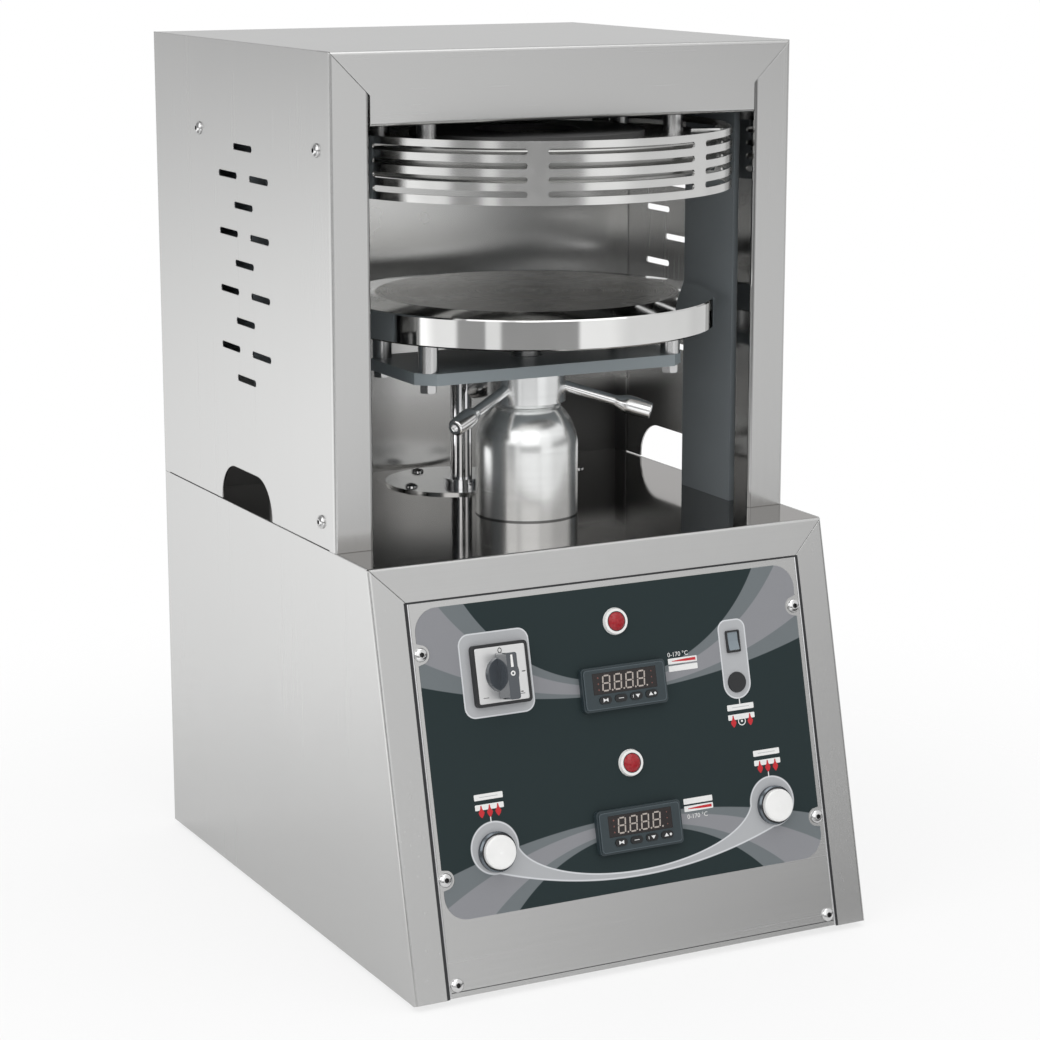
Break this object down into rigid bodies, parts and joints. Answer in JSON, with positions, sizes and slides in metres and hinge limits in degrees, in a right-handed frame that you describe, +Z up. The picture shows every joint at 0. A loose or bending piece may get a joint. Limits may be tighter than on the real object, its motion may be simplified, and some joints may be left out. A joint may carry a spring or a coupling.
{
  "type": "pizza dough press",
  "caption": "Benchtop hot dough press: stainless cabinet with open throat, rising heated platen in a slotted guard ring, sloping control panel",
  "frame": {"origin": "on the floor under the middle of the cabinet", "axes": "+Z up, +Y to the back, +X to the right of someone facing the control panel"},
  "size_m": [0.4348, 0.5398, 0.75],
  "materials": {
    "stainless": "fine-brushed stainless sheet",
    "polished_sheet": "bright-rolled stainless sheet",
    "painted_frame": "satin blue-grey paint",
    "bright_steel": "turned and plated steel",
    "chromed": "ground and chromed steel",
    "platen": "turned aluminium with a polished rim",
    "heater": "dark mica clamp plate",
    "bronze": "plain bronze",
    "rubber": "black rubber",
    "black_plastic": "satin black",
    "bezel_plastic": "satin slate grey",
    "white_plastic": "gloss white",
    "red_lens": "clear red",
    "dark_lens": "smoked clear",
    "grey_lens": "smoky grey"
  },
  "bodies": {
    "cabinet": {"base_left_side": "stainless", "base_right_side": "stainless", "base_rear_panel": "stainless", "base_floor": "stainless", "control_panel": "stainless", "hood_left_side": "stainless", "hood_right_side": "stainless", "hood_top": "stainless", "hood_back": "stainless", "switch_plate": "stainless", "base_deck": "polished_sheet", "chamber_back_wall": "polished_sheet", "deck_cover": "polished_sheet", "guard_ring": "polished_sheet", "left_upright": "painted_frame", "right_upright": "painted_frame", "crosshead": "painted_frame", "bolster": "painted_frame", "gearmotor": "painted_frame", "housing_screws": "bright_steel", "frame_bolts": "bright_steel", "upper_spacers": "bright_steel", "ram_housing": "bright_steel", "guide_bush": "chromed", "button_bezels": "chromed", "upper_platen": "platen", "upper_heater": "heater", "ram_bush": "bronze", "feet": "rubber", "switch_frame": "black_plastic", "rocker_bezel": "black_plastic", "fuse_cap": "black_plastic", "cable_gland": "black_plastic", "upper_controller": "bezel_plastic", "lower_controller": "bezel_plastic", "pilot_bezels": "white_plastic", "pilot_lenses": "red_lens", "controller_lenses": "dark_lens"},
    "ram_body": {"ram": "chromed"},
    "carriage": {"carrier_plate": "painted_frame", "lower_spacers": "bright_steel", "lower_platen": "platen", "lower_heater": "heater", "carrier_bolts": "bright_steel", "guide_rod": "chromed"},
    "hub_body": {"thickness_hub": "bright_steel", "hub_handles": "bright_steel"},
    "screw_body": {"lead_screw": "bright_steel"},
    "lever_body": {"switch_lever": "black_plastic"},
    "rocker_body": {"rocker_paddle": "grey_lens"},
    "left_button_body": {"left_button": "white_plastic"},
    "right_button_body": {"right_button": "white_plastic"},
    "upper_key_1_body": {"upper_key_1": "black_plastic"},
    "upper_key_2_body": {"upper_key_2": "black_plastic"},
    "upper_key_3_body": {"upper_key_3": "black_plastic"},
    "upper_key_4_body": {"upper_key_4": "black_plastic"},
    "lower_key_1_body": {"lower_key_1": "black_plastic"},
    "lower_key_2_body": {"lower_key_2": "black_plastic"},
    "lower_key_3_body": {"lower_key_3": "black_plastic"},
    "lower_key_4_body": {"lower_key_4": "black_plastic"}
  },
  "joints": [
    {"name": "lift", "type": "slide", "parent": "cabinet", "child": "ram_body", "axis": [0, 0, 1], "range_m": [0, 0.1]},
    {"name": "thickness", "type": "slide", "parent": "ram_body", "child": "carriage", "axis": [0, 0, 1], "range_m": [0, 0.006]},
    {"name": "hub_turn", "type": "hinge", "parent": "carriage", "child": "hub_body", "pos_m": [0, -0.048, 0.4575], "axis": [0, 0, 1], "range_deg": [0, 540]},
    {"name": "screw_turn", "type": "hinge", "parent": "cabinet", "child": "screw_body", "pos_m": [0, -0.048, 0.2], "axis": [0, 0, 1], "range_deg": [-1800, 0]},
    {"name": "switch_turn", "type": "hinge", "parent": "cabinet", "child": "lever_body", "pos_m": [-0.109, -0.21382, 0.25298], "axis": [0, -0.971, 0.2392], "range_deg": [-90, 0]},
    {"name": "rocker_tilt", "type": "hinge", "parent": "cabinet", "child": "rocker_body", "pos_m": [0.1128, -0.20838, 0.25205], "axis": [1, 0, 0], "range_deg": [0, 12]},
    {"name": "left_button_press", "type": "slide", "parent": "cabinet", "child": "left_button_body", "axis": [0, 0.971, -0.2392], "range_m": [0, 0.0035], "stiffness_N_per_m": 600},
    {"name": "right_button_press", "type": "slide", "parent": "cabinet", "child": "right_button_body", "axis": [0, 0.971, -0.2392], "range_m": [0, 0.0035], "stiffness_N_per_m": 600},
    {"name": "upper_key_1_press", "type": "slide", "parent": "cabinet", "child": "upper_key_1_body", "axis": [0, 0.971, -0.2392], "range_m": [0, 0.0005], "stiffness_N_per_m": 800},
    {"name": "upper_key_2_press", "type": "slide", "parent": "cabinet", "child": "upper_key_2_body", "axis": [0, 0.971, -0.2392], "range_m": [0, 0.0005], "stiffness_N_per_m": 800},
    {"name": "upper_key_3_press", "type": "slide", "parent": "cabinet", "child": "upper_key_3_body", "axis": [0, 0.971, -0.2392], "range_m": [0, 0.0005], "stiffness_N_per_m": 800},
    {"name": "upper_key_4_press", "type": "slide", "parent": "cabinet", "child": "upper_key_4_body", "axis": [0, 0.971, -0.2392], "range_m": [0, 0.0005], "stiffness_N_per_m": 800},
    {"name": "lower_key_1_press", "type": "slide", "parent": "cabinet", "child": "lower_key_1_body", "axis": [0, 0.971, -0.2392], "range_m": [0, 0.0005], "stiffness_N_per_m": 800},
    {"name": "lower_key_2_press", "type": "slide", "parent": "cabinet", "child": "lower_key_2_body", "axis": [0, 0.971, -0.2392], "range_m": [0, 0.0005], "stiffness_N_per_m": 800},
    {"name": "lower_key_3_press", "type": "slide", "parent": "cabinet", "child": "lower_key_3_body", "axis": [0, 0.971, -0.2392], "range_m": [0, 0.0005], "stiffness_N_per_m": 800},
    {"name": "lower_key_4_press", "type": "slide", "parent": "cabinet", "child": "lower_key_4_body", "axis": [0, 0.971, -0.2392], "range_m": [0, 0.0005], "stiffness_N_per_m": 800}
  ],
  "couplings": [
    {"joint": "hub_turn", "follows": "thickness", "rad_per_m": 1570.8},
    {"joint": "screw_turn", "follows": "lift", "rad_per_m": -314.16}
  ]
}
